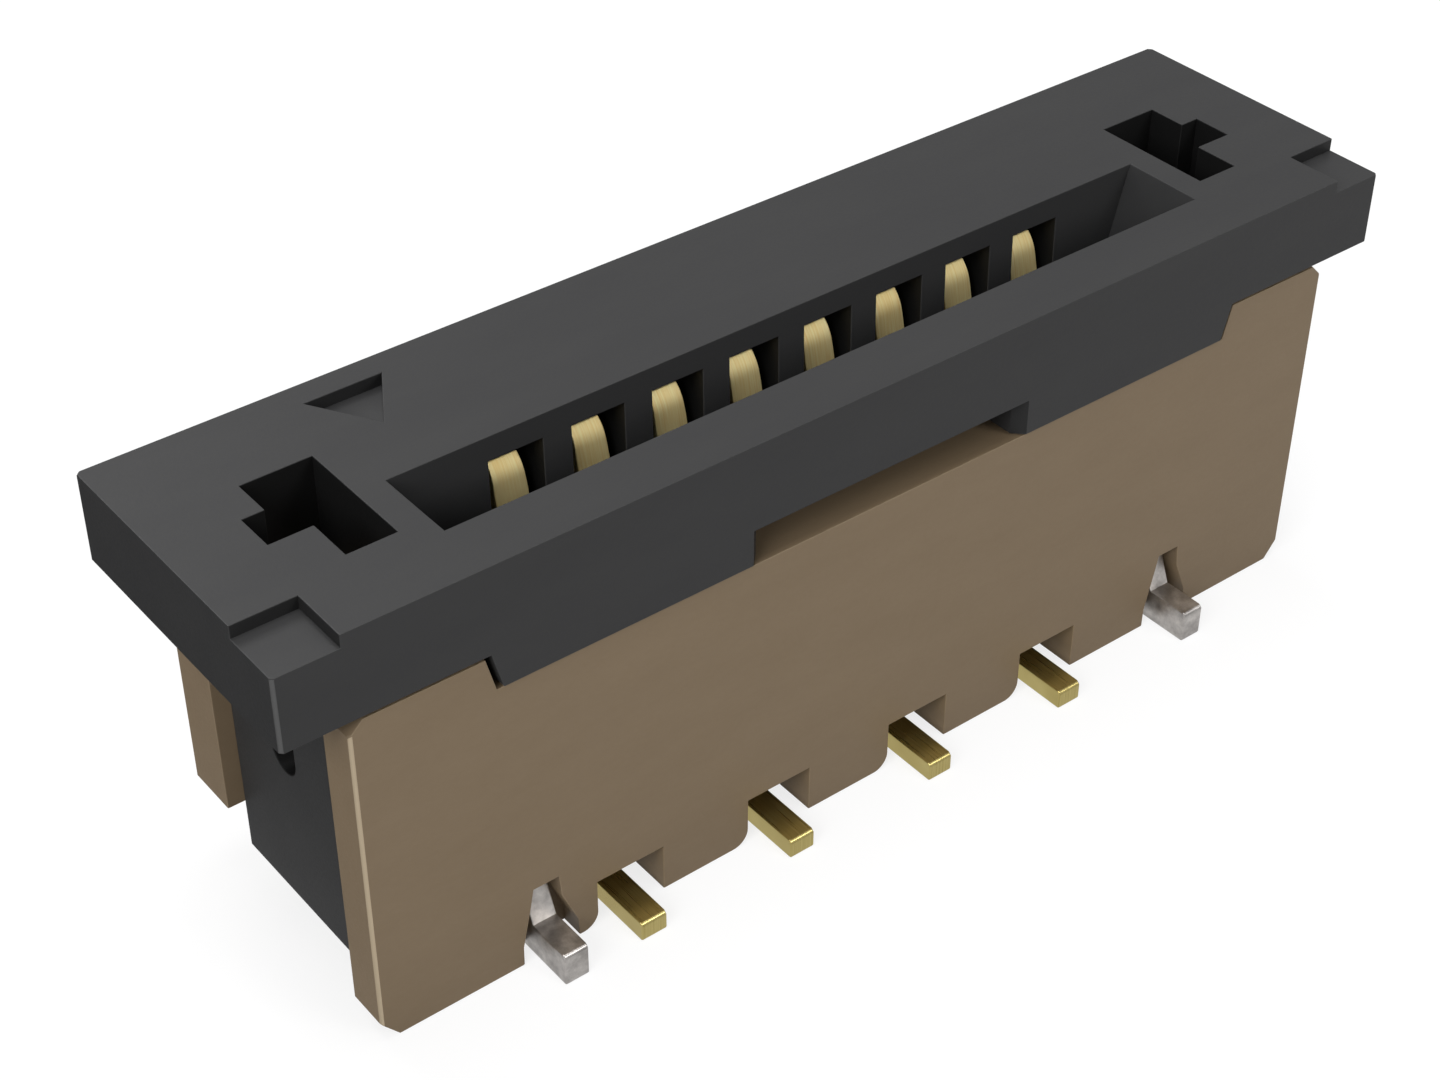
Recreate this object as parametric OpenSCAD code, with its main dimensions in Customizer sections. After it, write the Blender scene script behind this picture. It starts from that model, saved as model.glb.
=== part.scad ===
// Vertical connector for a flat flexible cable, eight circuits.
// A black slider with the cable slot sits on a tan housing and is pushed
// down to clamp the cable. Gold contacts leave the housing at the board in
// turn to the front and to the back, and a tinned nail holds each end.
// Origin: centre of the footprint on the board, X along the row, Y to the
// back, Z up, millimetres. The slider is drawn pushed down, as locked.

/* [Row of contacts] */
// Spacing of neighbouring contacts along the row
pitch = 1; // [0.98:0.01:1.02]
// Thickness of the strip that the contacts are bent from
strip = 0.24; // [0.2:0.01:0.25]
// Width of a contact's post and spring beam
beam_width = 0.4; // [0.36:0.01:0.42]
// Width of a solder tail
tail_width = 0.33; // [0.28:0.01:0.34]
// Reach of the solder tails from the middle of the part
tail_reach = 2.26; // [2.1:0.02:2.4]
// Position of the contact point, behind the middle of the part
crest_front = -0.16; // [-0.18:0.01:-0.1]
// Height of the contact point above the board
crest_height = 3.6; // [3.5:0.01:3.7]
// Height of the bend near the contact's tip above the board
tip_height = 4.45; // [4.4:0.01:4.5]

/* [Housing] */
// Length of the housing along the row
body_length = 13.07; // [13:0.01:13.2]
// Depth of the housing, front to back
body_depth = 3.57; // [3.54:0.01:3.6]
// Height of the housing's walls
body_height = 4.21; // [4.15:0.01:4.23]
// Thickness of the front wall
front_wall = 0.515; // [0.5:0.005:0.54]
// Thickness of the back wall
back_wall = 0.685; // [0.66:0.005:0.7]
// Top of the solid base that holds the contacts
base_top = 2; // [1.8:0.05:2.04]
// Height of the ledge that the slider's front skirt comes down on
ledge_height = 3.8; // [3.78:0.01:3.8]

/* [Slider] */
// Length of the slider's head along the row
head_length = 14.48; // [14.4:0.02:14.7]
// Depth of the slider's head, front to back
head_depth = 3.63; // [3.6:0.01:3.7]
// Height of the head's top above the board, slider down
head_top = 5.29; // [5.25:0.01:5.35]
// Height of the head's underside above the board, slider down
head_underside = 4.26; // [4.25:0.01:4.3]
// Length of the cable slot at the top
slot_length = 9.94; // [9.8:0.02:10]
// Width of the cable slot at the top, front to back
slot_width = 1.01; // [0.98:0.01:1.02]
// Width of the channel that each contact stands in
channel_width = 0.65; // [0.6:0.01:0.68]

/* [Board nails] */
// Thickness of the strip that the nails are cut from
nail_strip = 0.3; // [0.26:0.01:0.31]
// Height of a nail's foot
nail_height = 0.41; // [0.36:0.01:0.42]
// Reach of a nail's feet from the middle of the part
nail_reach = 2.28; // [2.1:0.02:2.4]

/* [Hidden] */
$fn = 48;
circuits = 8;
clearance = 0.04;
over = 0.5;
moulded_chamfer = 0.035;

// Housing: the well between the walls, the base and the ends
front_face = -body_depth / 2;
back_face = body_depth / 2;
well_front = front_face + front_wall;
well_back = back_face - back_wall;
well_end = 5.27;
cheek_end = 5.82;
cheek_top = 4;
base_underside = 0.4;
corner_in = 0.2;
corner_low = 0.25;
corner_high = 0.16;
guide_cut_start = 5.7;
guide_cut_height = 1.05;
ledge_end = 5.05;
ledge_slant = 0.12;

// Openings in the lower edge of the walls, from the middle of each tail
notch_low_side = 0.37;
notch_high_side = 0.48;
notch_top = 0.61;
notch_round = 0.2;
nail_mouth = [
    [-0.32, -over], [0.4, -over], [0.37, 0.24], [0.18, 0.7],
    [0.155, 0.98], [-0.155, 0.98], [-0.2, 0.75], [-0.31, 0.25]
];
skin = 0.285;

// Slider: slot, comb, tongue and legs
slot_front = -1.108;
comb_face = slot_front + slot_width;
comb_back = well_back - clearance;
tongue_front = well_front + clearance;
slider_bottom = base_top + 0.1;
throat_end = 4.7;
throat_top = 4.4;
tongue_profile = [[-0.8, 2.1], [-0.62, 2.6], [-0.4, 3.2], [-0.4, 3.9], [-0.44, 4.32]];
comb_nose = [-0.12, 4.4];
comb_waist = [-0.07, 3.9];
channel_depth = 0.93;
channel_top = 5;
skirt_end = 4.99;
skirt_slant = 0.12;
skirt_height = 0.44;
skirt_window = 1.74;
skirt_edge = 0.09;
leg_outer = 6.34;
leg_inner = cheek_end + 0.06;
leg_bottom = 0.45;
leg_lead = 0.12;
guide_clearance = 0.015;
recess_length = 0.71;
recess_width = 0.71;
recess_depth = 0.15;

// Cross-shaped core holes over the legs and the latch slot below them
core_inner = 5.315;
core_middle = 5.873;
core_outer = 6.112;
core_tab = 6.36;
core_back = 0.677;
core_front = -0.85;
tab_back = 0.196;
tab_front = -0.289;
latch_back = 0.24;
latch_front = -0.2;
latch_low = 2.25;
leg_pocket_bottom = 3.2;
latch_round = (latch_back - latch_front) / 2;
latch_middle = (latch_back + latch_front) / 2;
latch_reach = 0.28;
latch_bump_low = 3.3;
latch_bump_face = 0.15;
latch_bump_rise = 0.5;
latch_bump_half = 0.155;

// Mark for the first circuit
mark_tip = [-4.47, 0.735];
mark_half = 0.45;
mark_back = 1.493;
mark_depth = 0.15;

// Contacts: bends from the tail up to the tip, angles to the upright
post_front = 0.62;
post_back = post_front + strip;
post_foot = 0.45;
root_height = 1.7;
root_radius = 0.3;
tail_radius = 0.15;
tail_bevel = 0.04;
crest_radius = 0.35;
tip_radius = 0.45;
tip_set_back = 0.48;
tip_angle = 47;
tip_width = 0.36;
tip_top = 4.9;
root_centre = [post_front - root_radius, root_height];
crest_centre = [crest_front + crest_radius, crest_height];
tip_centre = [tip_set_back, tip_height];
root_run = crest_centre - root_centre;
root_lean = asin((crest_radius + root_radius) / norm(root_run))
    - atan2(root_run[0], root_run[1]);
tip_run = tip_centre - crest_centre;
tip_lean = asin((crest_radius - tip_radius) / norm(tip_run))
    + atan2(tip_run[0], tip_run[1]);
barb = 0.05;
barb_height = 0.25;
barb_levels = [0.7, 1.2];
slot_gap = 0.01;
slot_relief = 0.14;
arc_steps = 10;

// Nails
nail_place = 4.5 * pitch;
nail_slot = nail_strip / 2 + slot_gap;
nail_shoulder = front_face + 0.07;
nail_post_width = 0.4;
nail_lean_top = 0.95;
nail_post_top = 1.4;
nail_post_front = front_face + skin;
nail_post_back = nail_post_front + nail_post_width;
nail_lead = 0.08;

housing_colour = [0.48, 0.41, 0.33];
slider_colour = [0.21, 0.21, 0.21];
gold_colour = [0.83, 0.68, 0.35];
tin_colour = [0.72, 0.72, 0.74];

// Place of a circuit along the row, counted from the marked end
function circuit_x(i) = (i - (circuits + 1) / 2) * pitch;

// A box between two limits on each axis
module block(x, y, z) {
    translate([x[0], y[0], z[0]])
        cube([x[1] - x[0], y[1] - y[0], z[1] - z[0]]);
}

// An outline drawn in Y and Z, carried along X
module along_x(from, to) {
    translate([from, 0, 0])
        rotate([90, 0, 90])
            linear_extrude(to - from) children();
}

// An outline drawn in X and Z, carried along Y
module along_y(from, to) {
    translate([0, to, 0])
        rotate([90, 0, 0])
            linear_extrude(to - from) children();
}

// The same form at both ends of the row, mirrored
module at_both_ends() {
    children();
    mirror([1, 0, 0]) children();
}

// The same form at the front and, turned half round, at the back
module front_and_back() {
    children();
    rotate([0, 0, 180]) children();
}

// Rectangle about the middle with its four corners cut at 45 degrees
module chamfered_plan(length, depth, cut) {
    x = length / 2;
    y = depth / 2;
    polygon([
        [cut - x, -y], [x - cut, -y], [x, cut - y], [x, y - cut],
        [x - cut, y], [cut - x, y], [-x, y - cut], [-x, cut - y]
    ]);
}

// Front view of the housing: a plate with its four corners cut
module housing_front() {
    x = body_length / 2;
    polygon([
        [corner_in - x, 0], [x - corner_in, 0], [x, corner_low],
        [x, body_height - corner_high], [x - corner_high, body_height],
        [corner_high - x, body_height], [-x, body_height - corner_high],
        [-x, corner_low]
    ]);
}

// Opening under a wall for one solder tail, one lower corner rounded
module tail_notch() {
    translate([-notch_low_side, -over])
        square([notch_low_side + notch_high_side, notch_top + over]);
    difference() {
        translate([-notch_low_side - notch_round, -over])
            square([notch_round, notch_round + over]);
        translate([-notch_low_side - notch_round, notch_round])
            circle(notch_round);
        translate([-notch_low_side - 2 * notch_round, notch_round])
            square(2 * notch_round);
    }
}

// All openings along the lower edge of the front wall
module lower_openings() {
    for (i = [1:2:circuits])
        translate([circuit_x(i), 0, 0])
            along_y(front_face - over, well_front + over) tail_notch();
    for (x = [-nail_place, nail_place])
        translate([x, 0, 0])
            along_y(front_face - over, nail_post_front) polygon(nail_mouth);
}

// Slots that the contacts are pressed up into, relieved where the posts bend
module contact_slots() {
    for (i = [1:circuits])
        translate([circuit_x(i), 0, 0])
            along_x(-beam_width / 2 - barb, beam_width / 2 + barb)
                polygon([
                    [post_front - slot_gap, -over], [post_back + slot_gap, -over],
                    [post_back + slot_gap, base_top + over],
                    [post_front - slot_relief, base_top + over],
                    [post_front - slot_relief, base_top],
                    [post_front - slot_gap, root_height]
                ]);
}

// Lanes along the underside and blind slots for the two nails
module nail_slots() {
    for (x = [-nail_place, nail_place])
        translate([x, 0, 0]) {
            block([-nail_slot, nail_slot], [nail_post_front, -nail_post_front],
                  [-over, nail_height]);
            front_and_back()
                block([-nail_slot, nail_slot], [nail_post_front, nail_post_back],
                      [-over, nail_post_top]);
        }
}

// Wedge on the end cheek that the slider's latch slot stops against
module latch_bump() {
    along_y(latch_middle - latch_bump_half, latch_middle + latch_bump_half)
        polygon([
            [cheek_end - over, latch_bump_low],
            [cheek_end + latch_reach, latch_bump_low],
            [cheek_end + latch_reach, latch_bump_low + latch_bump_face],
            [cheek_end, latch_bump_low + latch_bump_rise],
            [cheek_end - over, latch_bump_low + latch_bump_rise]
        ]);
}

// Tan moulding: two walls, base, end cheeks and latch wedges
module housing() {
    color(housing_colour)
    difference() {
        union() {
            difference() {
                intersection() {
                    along_y(front_face, back_face) housing_front();
                    linear_extrude(body_height)
                        chamfered_plan(body_length, body_depth, moulded_chamfer);
                }
                block([-well_end, well_end], [well_front, well_back],
                      [base_top, body_height + over]);
                at_both_ends()
                    block([cheek_end, body_length], [well_front, well_back],
                          [-over, body_height + over]);
                block([-cheek_end, cheek_end], [well_front, well_back],
                      [cheek_top, body_height + over]);
                block([-cheek_end, cheek_end], [well_front, well_back],
                      [-over, base_underside]);
                at_both_ends()
                    block([guide_cut_start, body_length], [well_back, body_depth],
                          [-over, guide_cut_height]);
                along_y(front_face - over, well_front)
                    polygon([
                        [ledge_slant - ledge_end, ledge_height],
                        [ledge_end - ledge_slant, ledge_height],
                        [ledge_end, head_underside],
                        [-ledge_end, head_underside]
                    ]);
            }
            at_both_ends() latch_bump();
        }
        front_and_back() lower_openings();
        contact_slots();
        nail_slots();
    }
}

// Front view of one half of the skirt that hangs over the ledge
module skirt_front() {
    polygon([
        [skirt_window, head_underside - skirt_height],
        [skirt_end - skirt_slant, head_underside - skirt_height],
        [skirt_end, head_underside],
        [skirt_end, head_underside + over],
        [skirt_window, head_underside + over]
    ]);
}

// Half of the skirt with its edge at the middle window cut back
module skirt_half() {
    difference() {
        along_y(-head_depth / 2, tongue_front + clearance) skirt_front();
        translate([skirt_window, -head_depth / 2, 0])
            rotate([0, 0, 45])
                block([-skirt_edge, skirt_edge], [-skirt_edge, skirt_edge],
                      [0, head_underside]);
    }
}

// End leg that runs down between the walls, outside the end cheek
module leg() {
    along_y(tongue_front, well_back - guide_clearance)
        polygon([
            [leg_inner + leg_lead, leg_bottom], [leg_outer, leg_bottom],
            [leg_outer, head_underside + over], [leg_inner, head_underside + over],
            [leg_inner, leg_bottom + leg_lead]
        ]);
}

// Way of the cable, side view: mouth, nip against the bumps and wedge below
module throat_side() {
    polygon(concat([
        [slot_front, head_top], [slot_front, head_top + over],
        [comb_face, head_top + over], [comb_face, head_top], comb_nose, comb_waist,
        [comb_waist[0], slider_bottom - over],
        [tongue_profile[0][0], slider_bottom - over]
    ], tongue_profile));
}

// Way of the cable, front view: straight below, ends splayed at the mouth
module throat_front() {
    x = slot_length / 2;
    polygon([
        [-throat_end, slider_bottom - over], [throat_end, slider_bottom - over],
        [throat_end, throat_top], [x, head_top], [x, head_top + over],
        [-x, head_top + over], [-x, head_top], [-throat_end, throat_top]
    ]);
}

// Plan of the cross-shaped core hole over one leg
module core_plan() {
    polygon([
        [core_inner, core_back], [core_outer, core_back],
        [core_outer, tab_back], [core_tab, tab_back],
        [core_tab, tab_front], [core_middle, tab_front],
        [core_middle, core_front], [core_inner, core_front]
    ]);
}

// Core hole through the head, pocket inside the leg and round-ended latch slot
module core_and_latch() {
    translate([0, 0, head_underside])
        linear_extrude(head_top) core_plan();
    block([leg_inner - over, core_outer], [latch_middle, core_back],
          [leg_pocket_bottom, head_top]);
    block([leg_inner - over, core_tab], [latch_front, latch_back],
          [latch_low + latch_round, head_underside]);
    translate([leg_inner - over, latch_middle, latch_low + latch_round])
        rotate([0, 90, 0])
            cylinder(h = core_tab - leg_inner + over, r = latch_round);
}

// Sunk triangle, deepest at its back edge and running out at its tip
module first_circuit_mark() {
    run = mark_back - mark_tip[1];
    intersection() {
        translate([0, 0, head_top - mark_depth])
            linear_extrude(over)
                polygon([
                    mark_tip,
                    [mark_tip[0] + mark_half, mark_back],
                    [mark_tip[0] - mark_half, mark_back]
                ]);
        along_x(mark_tip[0] - mark_half, mark_tip[0] + mark_half)
            polygon([
                [mark_tip[1], head_top],
                [mark_back, head_top - mark_depth],
                [mark_back, head_top + over],
                [mark_back - run, head_top + over]
            ]);
    }
}

// Shallow step at one front corner of the head's top
module corner_step() {
    block([head_length / 2 - recess_length, head_length],
          [-head_depth, recess_width - head_depth / 2],
          [head_top - recess_depth, head_top + over]);
}

// Black moulding: head, skirt, tongue, comb and two latching legs
module slider() {
    color(slider_colour)
    difference() {
        union() {
            translate([0, 0, head_underside])
                linear_extrude(head_top - head_underside)
                    chamfered_plan(head_length, head_depth, moulded_chamfer);
            block([clearance - well_end, well_end - clearance],
                  [tongue_front, comb_back], [slider_bottom, head_underside + over]);
            at_both_ends() {
                skirt_half();
                leg();
            }
        }
        intersection() {
            along_x(-slot_length, slot_length) throat_side();
            along_y(-head_depth, head_depth) throat_front();
        }
        for (i = [1:circuits])
            translate([circuit_x(i), 0, 0])
                block([-channel_width / 2, channel_width / 2],
                      [comb_nose[0] - over / 4, comb_face + channel_depth],
                      [slider_bottom - over, channel_top]);
        at_both_ends() {
            core_and_latch();
            corner_step();
        }
        first_circuit_mark();
    }
}

// Points of an arc in side view; way is -1 for a bulge to the front
function arc(centre, radius, way, from, to) = [
    for (k = [0:arc_steps])
        let (angle = from + (to - from) * k / arc_steps)
            centre + radius * [way * cos(angle), sin(angle)]
];

// Same points in the opposite order
function reversed(points) = [for (k = [len(points) - 1:-1:0]) points[k]];

// One face of the bent strip above the tail, upwards; depth 0 is its front
function stem_face(depth) = concat(
    arc(root_centre, root_radius + depth, 1, 0, root_lean),
    arc(crest_centre, crest_radius - depth, -1, -root_lean, tip_lean),
    arc(tip_centre, tip_radius - depth, -1, tip_lean, tip_angle)
);

// Bend from the tail up into the post, at a distance from its inner face
function tail_bend(way, depth) =
    let (inner = way > 0 ? post_front : post_back)
        arc([inner - way * tail_radius, strip + tail_radius],
            tail_radius + depth, way, -90, 0);

// Side view of the bent strip; way is 1 for a tail to the front
function strip_side(way) = concat(
    [[-way * tail_reach, 0]],
    tail_bend(way, strip),
    way > 0 ? stem_face(strip) : stem_face(0),
    reversed(way > 0 ? stem_face(0) : stem_face(strip)),
    reversed(tail_bend(way, 0)),
    [[way * (tail_bevel - tail_reach), strip], [-way * tail_reach, strip - tail_bevel]]
);

// One long edge of the stamped blank, seen from the front, upwards
function blank_edge(way) = concat(
    [[way * tail_width / 2, -over], [way * tail_width / 2, base_underside - barb]],
    [[way * beam_width / 2, post_foot]],
    [for (z = barb_levels)
        each [
            [way * beam_width / 2, z], [way * (beam_width / 2 + barb), z],
            [way * beam_width / 2, z + barb_height]
        ]],
    [[way * beam_width / 2, tip_height], [way * tip_width / 2, tip_top]]
);

// Bent contact of one circuit, its tail to the front on odd circuits
module contact(i) {
    color(gold_colour)
    translate([circuit_x(i), 0, 0])
        intersection() {
            along_x(-beam_width, beam_width)
                polygon(strip_side(i % 2 == 1 ? 1 : -1));
            along_y(-2 * tail_reach, 2 * tail_reach)
                polygon(concat(blank_edge(-1), reversed(blank_edge(1))));
        }
}

// Half of a nail's side view: foot, leaning shoulder, pointed post, cross strap
function nail_half() = [
    [0, 0], [-nail_reach, 0], [-nail_reach, nail_height - tail_bevel],
    [tail_bevel - nail_reach, nail_height], [nail_shoulder, nail_height],
    [nail_post_front, nail_lean_top],
    [nail_post_front, nail_post_top - nail_lead],
    [nail_post_front + nail_lead, nail_post_top],
    [nail_post_back - nail_lead, nail_post_top],
    [nail_post_back, nail_post_top - nail_lead],
    [nail_post_back, nail_height], [0, nail_height]
];

// Stamped nail: a foot and a post to the front and to the back
module nail(x) {
    color(tin_colour)
    translate([x, 0, 0])
        along_x(-nail_strip / 2, nail_strip / 2)
            polygon(concat(
                nail_half(),
                [for (p = reversed(nail_half())) [-p[0], p[1]]]
            ));
}

housing();
slider();
for (i = [1:circuits])
    contact(i);
nail(-nail_place);  // nail_left
nail(nail_place);  // nail_right
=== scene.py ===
"""Looks of an upright flat-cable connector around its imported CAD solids, in metres."""
import math

import bmesh
import bpy
import numpy as np
from mathutils import Matrix, Vector


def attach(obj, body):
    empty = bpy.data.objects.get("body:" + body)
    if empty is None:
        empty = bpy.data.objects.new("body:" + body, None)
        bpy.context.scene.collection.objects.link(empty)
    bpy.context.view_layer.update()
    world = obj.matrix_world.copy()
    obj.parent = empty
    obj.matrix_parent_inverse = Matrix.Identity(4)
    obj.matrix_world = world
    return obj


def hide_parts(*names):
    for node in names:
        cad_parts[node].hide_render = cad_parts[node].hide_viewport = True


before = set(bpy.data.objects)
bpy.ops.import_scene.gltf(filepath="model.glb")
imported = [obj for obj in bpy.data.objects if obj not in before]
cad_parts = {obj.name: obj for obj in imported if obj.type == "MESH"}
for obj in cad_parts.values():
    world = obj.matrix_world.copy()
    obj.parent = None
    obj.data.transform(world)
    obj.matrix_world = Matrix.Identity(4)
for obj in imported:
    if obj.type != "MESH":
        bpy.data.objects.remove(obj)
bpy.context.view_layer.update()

# Camera
# It stands where the photograph was taken from, left of the front and above,
# and is turned by the three angles that were solved from the part's corners.
MM = 0.001
PHOTO_AZIMUTH = math.radians(-38.139)
PHOTO_ELEVATION = math.radians(37.290)
PHOTO_ROLL = math.radians(0.123)
PHOTO_PLACE = Vector((-14.712, -17.630, 19.666)) * MM
SENSOR_WIDTH = 36
FOCAL_LENGTH = 64.61
back = Vector((
    math.sin(PHOTO_AZIMUTH) * math.cos(PHOTO_ELEVATION),
    -math.cos(PHOTO_AZIMUTH) * math.cos(PHOTO_ELEVATION),
    math.sin(PHOTO_ELEVATION),
))
level = (-back).cross(Vector((0, 0, 1))).normalized()
upright = level.cross(-back)
right = math.cos(PHOTO_ROLL) * level + math.sin(PHOTO_ROLL) * upright
up = -math.sin(PHOTO_ROLL) * level + math.cos(PHOTO_ROLL) * upright
lens = bpy.data.cameras.new("photo_view")
lens.sensor_fit = "HORIZONTAL"
lens.sensor_width = SENSOR_WIDTH
lens.lens = FOCAL_LENGTH
lens.clip_start = 1 * MM
lens.clip_end = 1
camera = bpy.data.objects.new("photo_view", lens)
turn = Matrix((right, up, back)).transposed().to_4x4()
camera.matrix_world = Matrix.Translation(PHOTO_PLACE) @ turn
bpy.context.scene.collection.objects.link(camera)
bpy.context.scene.camera = camera


# Housing
# One moulding in tan glass-filled plastic: satin skin, faint flow marks along
# the row, a fine grain from the tool and edges rounded by the mould.
class Wire:
    """A shader socket; arithmetic on it adds Math nodes in its own tree."""

    def __init__(self, socket):
        self.socket = socket
        self.tree = socket.id_data

    def maths(self, operation, *others):
        return grow(self.tree, "ShaderNodeMath", {"operation": operation}, (self, *others))

    def __add__(self, other):
        return self.maths("ADD", other)

    def __sub__(self, other):
        return self.maths("SUBTRACT", other)

    def __mul__(self, other):
        return self.maths("MULTIPLY", other)

    def __rsub__(self, other):
        return (self * -1) + other

    __radd__ = __add__
    __rmul__ = __mul__


def grow(tree, kind, settings, inputs, output=0):
    """Adds one node: settings first, then values or links by index or name."""
    node = tree.nodes.new(kind)
    for key, value in settings.items():
        setattr(node, key, value)
    named = inputs.items() if isinstance(inputs, dict) else enumerate(inputs)
    for key, value in named:
        if isinstance(value, Wire):
            tree.links.new(value.socket, node.inputs[key])
        else:
            node.inputs[key].default_value = value
    return Wire(node.outputs[output])


def finish_of(name, **constants):
    """A new material; returns it, its tree, its shader and its object point."""
    material = bpy.data.materials.new(name)
    material.use_nodes = True
    tree = material.node_tree
    shader = tree.nodes["Principled BSDF"]
    for key, value in constants.items():
        shader.inputs[key.replace("_", " ")].default_value = value
    point = grow(tree, "ShaderNodeTexCoord", {}, {}, "Object")
    return material, tree, shader, point


def stretched(tree, point, scale):
    """The object point in units of the pattern: metres times scale per axis."""
    return grow(tree, "ShaderNodeMapping", {"vector_type": "POINT"},
                {"Vector": point, "Scale": scale})


def noise(tree, point, scale, detail=2.0, rough=0.5):
    """Noise from 0 to 1 at an object point that is already stretched."""
    return grow(tree, "ShaderNodeTexNoise", {},
                {"Vector": point, "Scale": scale, "Detail": detail, "Roughness": rough})


def shade(tree, factor, dark, light):
    """Colour between dark and light for a factor from 0 to 1."""
    return grow(tree, "ShaderNodeMix", {"data_type": "RGBA"},
                {"Factor": factor, 6: dark if isinstance(dark, Wire) else (*dark, 1),
                 7: light if isinstance(light, Wire) else (*light, 1)}, 2)


def relief(tree, height, distance, strength):
    """Bump of a height from 0 to 1 that is distance metres deep."""
    return grow(tree, "ShaderNodeBump", {},
                {"Height": height, "Distance": distance, "Strength": strength})


def plug(shader, **links):
    """Links each wire to the shader's input of that name."""
    for key, wire in links.items():
        wire.tree.links.new(wire.socket, shader.inputs[key.replace("_", " ")])


def linear(red, green, blue):
    """Scene-linear colour of a display colour given in steps of 255."""
    shown = np.array((red, green, blue)) / 255
    return tuple(np.where(shown <= 0.04045, shown / 12.92, ((shown + 0.055) / 1.055) ** 2.4))


SAME_PLACE = 2e-7
SAME_PLANE = math.radians(0.6)
CRISP_TURN = math.radians(28)
EASED_TURN = math.radians(60)
NARROW = 0.06 * MM
LOW_STEP = 0.2 * MM
ARC_SEGMENTS = 2
STEADY = math.cos(math.radians(55))
ALIKE = math.cos(CRISP_TURN)
# Strengths of the painted highlight on arcs and on narrow faces.
ARC_EDGE = 0.5
STRIP_EDGE = 1
# Strength of the painted shade on the walls of openings and on low step walls.
OPENING_PAINTED_SHADE = 1
STEP_PAINTED_SHADE = 0.6


def shading(form, rounds):
    """One normal per face corner, in the order of the faces.

    It is the mean, by area, of the faces round the corner that are not rounded
    and turn less than 28 degrees from its own face. A rounded face takes that
    mean for the largest flat face that meets it within 55 degrees, or else the
    plain mean of the faces round it."""
    normals = []
    for face in form.faces:
        for loop in face.loops:
            normal = face.normal
            flats = [other for other in loop.vert.link_faces if other not in rounds]
            if face in rounds:
                near = [other for other in flats if other.normal.dot(normal) > STEADY]
                beside = [other for other in near if set(other.edges) & set(face.edges)]
                if near:
                    normal = max(beside or near, key=lambda other: other.calc_area()).normal
                else:
                    flats = loop.vert.link_faces
            mean = sum((other.normal * other.calc_area() for other in flats
                        if other.normal.dot(normal) > ALIKE), Vector())
            normals.append((mean.normalized() if mean.length else normal)[:])
    return normals


def eased(node, name, radius, body, finish, openings=()):
    """A copy of a CAD node with its flat triangles joined and its edges eased.

    Vertices nearer than 0.2 micrometres are merged and triangles in one plane
    are dissolved into one face. A convex edge that turns more than 60 degrees
    becomes an arc of the given radius in metres. Any other edge that turns more
    than 28 degrees stays crisp, except round a face whose area over its longest
    side is under 0.06 mm and that has a crisp convex edge, which is shaded as
    part of its neighbours. The middle of each arc has edge = 0.5, and such a
    narrow face has edge = 1; this edge value sets a painted highlight. The walls
    of openings, which are given by their lowest and highest corners in
    millimetres, are marked 1 for painted shade. Faces whose area over their
    longest side is under 0.2 mm and that meet another in a crisp inner corner are
    marked 0.6 for painted shade."""
    form = bmesh.new()
    form.from_mesh(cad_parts[node].data)
    bmesh.ops.remove_doubles(form, verts=form.verts, dist=SAME_PLACE)
    bmesh.ops.dissolve_limit(form, angle_limit=SAME_PLANE,
                             verts=form.verts, edges=form.edges)
    # Per-corner strength of the painted edge highlight.
    edge_layer = form.loops.layers.float.new("edge")
    # Per-corner strength of the painted shade.
    painted_shade_layer = form.loops.layers.float.new("painted_shade")
    corners = [edge for edge in form.edges if edge.is_manifold and edge.is_convex
               and edge.calc_face_angle() > EASED_TURN]
    made = bmesh.ops.bevel(form, geom=corners, offset=radius, offset_type="OFFSET",
                           segments=ARC_SEGMENTS, profile=0.5, affect="EDGES",
                           clamp_overlap=False, loop_slide=True)
    arcs = set(made["faces"])
    strips = set()
    for face in form.faces:
        if face in arcs:
            for loop in face.loops:
                if all(near in arcs for near in loop.vert.link_faces):
                    loop[edge_layer] = ARC_EDGE
        elif (face.calc_area() < NARROW * max(edge.calc_length() for edge in face.edges)
              and any(edge.is_manifold and edge.is_convex
                      and edge.calc_face_angle() > CRISP_TURN for edge in face.edges)):
            strips.add(face)
            for loop in face.loops:
                loop[edge_layer] = STRIP_EDGE
    for face in form.faces:
        longest = max(face.edges, key=lambda edge: edge.calc_length())
        rises = any(edge.is_manifold and not edge.is_convex
                    and edge.calc_face_angle() > CRISP_TURN for edge in face.edges)
        low = [min(vert.co[axis] for vert in face.verts) for axis in range(3)]
        high = [max(vert.co[axis] for vert in face.verts) for axis in range(3)]
        inside = any(
            all(first * MM < least and most < last * MM
                for first, least, most, last in zip(start, low, high, end))
            for start, end in openings)
        low_step = rises and face not in arcs | strips and (
            face.calc_area() < LOW_STEP * longest.calc_length())
        for loop in face.loops:
            loop[painted_shade_layer] = OPENING_PAINTED_SHADE if inside else STEP_PAINTED_SHADE * low_step
    for edge in form.edges:
        if edge.is_manifold and edge.calc_face_angle() > CRISP_TURN:
            sides = set(edge.link_faces)
            edge.smooth = edge.is_convex and bool(sides <= arcs or sides & strips)
    mesh = bpy.data.meshes.new(name)
    form.to_mesh(mesh)
    normals = shading(form, arcs | strips)
    form.free()
    mesh.polygons.foreach_set("use_smooth", [True] * len(mesh.polygons))
    mesh.normals_split_custom_set(normals)
    piece = bpy.data.objects.new(name, mesh)
    bpy.context.scene.collection.objects.link(piece)
    mesh.materials.append(finish)
    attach(piece, body)
    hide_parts(node)


def painted_edge_highlight(tree, amount):
    """The square of the edge attribute times amount: the share of a painted highlight along
    the edges.
    """
    edge = grow(tree, "ShaderNodeAttribute", {"attribute_name": "edge"}, {}, "Fac")
    return edge * edge * amount


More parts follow.
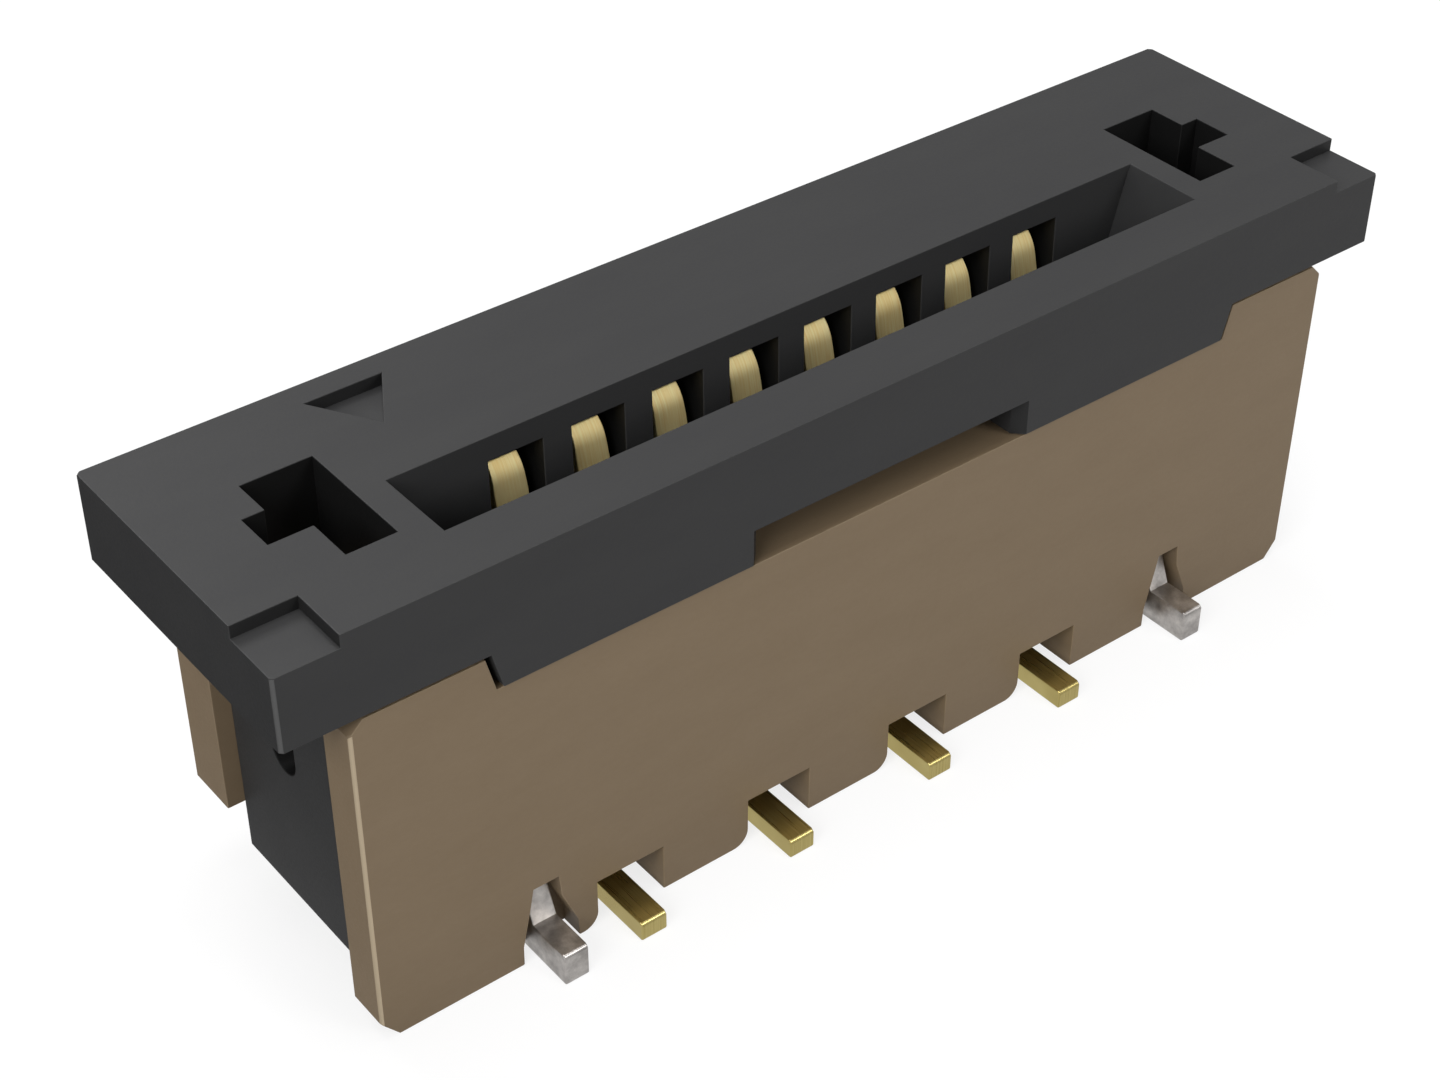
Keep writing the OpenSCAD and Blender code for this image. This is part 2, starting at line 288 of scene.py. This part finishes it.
HOUSING_EASE = 0.015 * MM
FLOW_STRETCH = (700, 2200, 2200)
FLECK_STRETCH = (9000, 22000, 22000)
GRAIN_SCALE = 26000.0
TAN_DARK = linear(108, 92, 71)
TAN_LIGHT = linear(118, 102, 81)
# Painted highlight colour for the eased edges.
TAN_EDGE_HIGHLIGHT = linear(158, 143, 120)
tan, tree, shader, point = finish_of("tan_plastic", IOR=1.5, Specular_IOR_Level=0.25)
flow = noise(tree, stretched(tree, point, FLOW_STRETCH), 1.0, 4.0, 0.6)
fleck = noise(tree, stretched(tree, point, FLECK_STRETCH), 1.0, 2.0, 0.5)
grain = noise(tree, point, GRAIN_SCALE, 3.0, 0.6)
skin = shade(tree, flow * 0.7 + fleck * 0.3, TAN_DARK, TAN_LIGHT)
# Painted highlight: the eased edges are painted lighter.
plug(shader,
     Base_Color=shade(tree, painted_edge_highlight(tree, 1.0), skin, TAN_EDGE_HIGHLIGHT),
     Roughness=grain * 0.16 + 0.42,
     Normal=relief(tree, grain * 0.7 + fleck * 0.3, 0.004 * MM, 0.35))
eased("housing", "housing_shell", HOUSING_EASE, "base", tan)


# Slider
# One moulding in black plastic with a finer satin skin than the housing's;
# it is pressed down over the housing and slides on its two end legs. Its core
# holes, latch slots and channels, and its low step walls in inner corners, are
# painted darker than the real, even plastic: painted shade.
SLIDER_EASE = 0.012 * MM
SLIDER_FLOW_STRETCH = (500, 1800, 1800)
SLIDER_GRAIN_SCALE = 30000.0
CORE_HOLE = ((5.31, -0.86, 3.1), (6.37, 0.69, 5.285))
LATCH_SLOT = ((5.87, -0.21, 2.2), (6.35, 0.25, 4.3))
CHANNELS = ((-4.2, -0.115, 0.5), (4.2, 0.9, 5.285))
BLACK_DARK = linear(46, 46, 47)
BLACK_LIGHT = linear(52, 52, 52)
# Painted highlight colour for the eased edges.
BLACK_EDGE_HIGHLIGHT = linear(90, 90, 90)
# Painted shade colour for the marked cavities and low step walls.
BLACK_PAINTED_SHADE = linear(20, 20, 20)
black, tree, shader, point = finish_of("black_plastic", IOR=1.5, Specular_IOR_Level=0.16)
flow = noise(tree, stretched(tree, point, SLIDER_FLOW_STRETCH), 1.0, 4.0, 0.6)
grain = noise(tree, point, SLIDER_GRAIN_SCALE, 3.0, 0.6)
skin = shade(tree, flow, BLACK_DARK, BLACK_LIGHT)
# Painted shade: the marked cavities and low step walls are darkened towards a near-black
# colour.
painted_shade = grow(tree, "ShaderNodeAttribute", {"attribute_name": "painted_shade"}, {}, "Fac")
skin = shade(tree, painted_shade, skin, BLACK_PAINTED_SHADE)
# Painted highlight: the eased edges are painted lighter.
plug(shader,
     Base_Color=shade(tree, painted_edge_highlight(tree, 0.6), skin, BLACK_EDGE_HIGHLIGHT),
     Roughness=grain * 0.14 + 0.4,
     Normal=relief(tree, grain, 0.003 * MM, 0.3))


def mirrored_box(box):
    """The same box at the other end of the row."""
    low, high = box
    return (-high[0], *low[1:]), (-low[0], *high[1:])


# The boxes mark the cavities that get painted shade.
eased("slider", "slider_shell", SLIDER_EASE, "slider", black,
      [mirrored_box(CORE_HOLE), CORE_HOLE, mirrored_box(LATCH_SLOT), LATCH_SLOT, CHANNELS])


# Contacts
# Strip of copper alloy, bent and plated with gold, with fine drawing lines
# along it. The finish is glossy on the tails and duller on the beams, and the
# beams are painted paler, a painted reflection; it changes gradually between
# 1 mm and 2.5 mm above the board.
CIRCUITS = 8
CONTACT_EASE = 0.018 * MM
LINE_STRETCH = (42000, 900, 900)
BEAM_FROM = 1.0 * MM
BEAM_TO = 2.5 * MM
# The tails' own gold, then a paler copy for the beams that is a painted reflection.
TAIL_GOLD_DARK = linear(186, 166, 96)
TAIL_GOLD_LIGHT = linear(222, 206, 138)
BEAM_PAINTED_SHEEN_DARK = linear(238, 206, 130)
BEAM_PAINTED_SHEEN_LIGHT = linear(255, 250, 206)
gold, tree, shader, point = finish_of("gold_plate", Metallic=1.0)
lines = noise(tree, stretched(tree, point, LINE_STRETCH), 1.0, 3.0, 0.7)
cloud = noise(tree, point, 2500.0, 2.0, 0.5)
streak = lines * 1.5 + cloud * 0.4 - 0.45
height = grow(tree, "ShaderNodeSeparateXYZ", {}, {"Vector": point}, "Z")
beam_sheen_and_roughness = grow(tree, "ShaderNodeMapRange", {},
             {"Value": height, "From Min": BEAM_FROM, "From Max": BEAM_TO})
# Painted reflection: the beams are painted paler than the tails; they are also rougher.
plug(shader,
     Base_Color=shade(tree, beam_sheen_and_roughness, shade(tree, streak, TAIL_GOLD_DARK, TAIL_GOLD_LIGHT),
                      shade(tree, streak, BEAM_PAINTED_SHEEN_DARK, BEAM_PAINTED_SHEEN_LIGHT)),
     Roughness=lines * 0.14 + beam_sheen_and_roughness * 0.38 + 0.22,
     Normal=relief(tree, lines, 0.002 * MM, 0.4))
for circuit in range(1, CIRCUITS + 1):
    eased(f"contact_{circuit}", f"contact_strip_{circuit}", CONTACT_EASE,
          "base", gold)


# Board nails
# Cut from tinned strip and pressed up into each end of the housing; the tin is
# a pale, slightly cloudy grey with soft scratches from the press.
NAIL_EASE = 0.02 * MM
SCRATCH_STRETCH = (5200, 2600, 30000)
TIN_DARK = linear(142, 137, 134)
TIN_LIGHT = linear(234, 229, 224)
tin, tree, shader, point = finish_of("tin_plate", Metallic=1.0)
cloud = noise(tree, point, 5200.0, 4.0, 0.65)
scratch = noise(tree, stretched(tree, point, SCRATCH_STRETCH), 1.0, 2.0, 0.6)
plug(shader,
     Base_Color=shade(tree, cloud * 1.7 - 0.35, TIN_DARK, TIN_LIGHT),
     Roughness=cloud * 0.2 + 0.26,
     Normal=relief(tree, cloud * 0.6 + scratch * 0.4, 0.006 * MM, 0.5))
for side in ("left", "right"):
    eased(f"nail_{side}", f"nail_strip_{side}", NAIL_EASE, "base", tin)


# Floor and light
# A plain white floor at board level and a soft room with four lamps, brightest
# overhead. The camera sees the floor nearly white and light bounces off it as
# off pale grey paper. Metal mirrors a painted reflection instead: a glow seen
# only in reflections, dark left of the part and paler under it, a painted shade
# of the floor beside the part.
FLOOR_HALF = 400 * MM
FLOOR_DROP = 0.002 * MM
FLOOR_GLOW_SHARE = 0.8
# Painted reflection: a glow that only mirrored rays see, rising from none at -8 mm to 0.6 at
# -5.5 mm along X.
PAINTED_REFLECTION_FROM = -8 * MM
PAINTED_REFLECTION_TO = -5.5 * MM
PAINTED_REFLECTION_STRENGTH = 0.6
ROOM_LIGHT = 0.18
ROOM_SEEN = 0.82
ROOM_MIRRORED = 0.32
floor_mesh = bpy.data.meshes.new("floor")
floor_mesh.from_pydata(
    [(x, y, -FLOOR_DROP) for x, y in
     ((-FLOOR_HALF, -FLOOR_HALF), (FLOOR_HALF, -FLOOR_HALF),
      (FLOOR_HALF, FLOOR_HALF), (-FLOOR_HALF, FLOOR_HALF))],
    [], [(0, 1, 2, 3)])
floor = bpy.data.objects.new("floor", floor_mesh)
bpy.context.scene.collection.objects.link(floor)
paper = bpy.data.materials.new("white_paper")
paper.use_nodes = True
tree = paper.node_tree
tree.nodes.clear()
seen = grow(tree, "ShaderNodeLightPath", {}, {}, "Is Camera Ray")
mirrored = grow(tree, "ShaderNodeLightPath", {}, {}, "Is Glossy Ray")
lit = grow(tree, "ShaderNodeBsdfDiffuse", {}, {"Color": (0.9, 0.9, 0.9, 1)})
dim = grow(tree, "ShaderNodeBsdfDiffuse", {}, {"Color": (0.75, 0.75, 0.75, 1)})
glow = grow(tree, "ShaderNodeEmission", {}, {"Color": (1, 1, 1, 1), "Strength": 1.0})
sheet = grow(tree, "ShaderNodeMixShader", {}, (FLOOR_GLOW_SHARE, lit, glow))
place = grow(tree, "ShaderNodeTexCoord", {}, {}, "Object")
along = grow(tree, "ShaderNodeSeparateXYZ", {}, {"Vector": place}, "X")
# Painted reflection: the glow's strength rises along X, dark left of the part.
fade = grow(tree, "ShaderNodeMapRange", {},
            {"Value": along, "From Min": PAINTED_REFLECTION_FROM, "From Max": PAINTED_REFLECTION_TO,
             "To Min": 0.0, "To Max": PAINTED_REFLECTION_STRENGTH})
painted_reflection = grow(tree, "ShaderNodeEmission", {}, {"Color": (1, 1, 1, 1), "Strength": fade})
shown = grow(tree, "ShaderNodeMixShader", {}, (mirrored, dim, painted_reflection))
floor_shader = grow(tree, "ShaderNodeMixShader", {}, (seen, shown, sheet))
sink = tree.nodes.new("ShaderNodeOutputMaterial")
tree.links.new(floor_shader.socket, sink.inputs["Surface"])
floor_mesh.materials.append(paper)

world = bpy.data.worlds.new("soft_room")
world.use_nodes = True
room = world.node_tree.nodes["Background"]
room.inputs["Color"].default_value = (1, 1, 1, 1)
seen = grow(world.node_tree, "ShaderNodeLightPath", {}, {}, "Is Camera Ray")
gloss = grow(world.node_tree, "ShaderNodeLightPath", {}, {}, "Is Glossy Ray")
strength = seen * ROOM_SEEN + gloss * ROOM_MIRRORED + ROOM_LIGHT
world.node_tree.links.new(strength.socket, room.inputs["Strength"])
bpy.context.scene.world = world


def softbox(name, place, size, watts):
    """A square area light; place and size in millimetres, turned to the object."""
    light = bpy.data.lights.new(name, "AREA")
    light.size = size * MM
    light.energy = watts
    lamp = bpy.data.objects.new(name, light)
    spot = Vector(place) * MM
    lamp.matrix_world = (Matrix.Translation(spot)
                         @ spot.to_track_quat("Z", "Y").to_matrix().to_4x4())
    bpy.context.scene.collection.objects.link(lamp)


softbox("overhead", (0, 10, 150), 90, 0.14)
softbox("rear_glow", (0, 95, 100), 60, 0.066)
softbox("front_key", (45, -105, 70), 50, 0.06)
softbox("left_fill", (-102, -44, 76), 70, 0.122)

bpy.context.scene.view_settings.view_transform = "Standard"
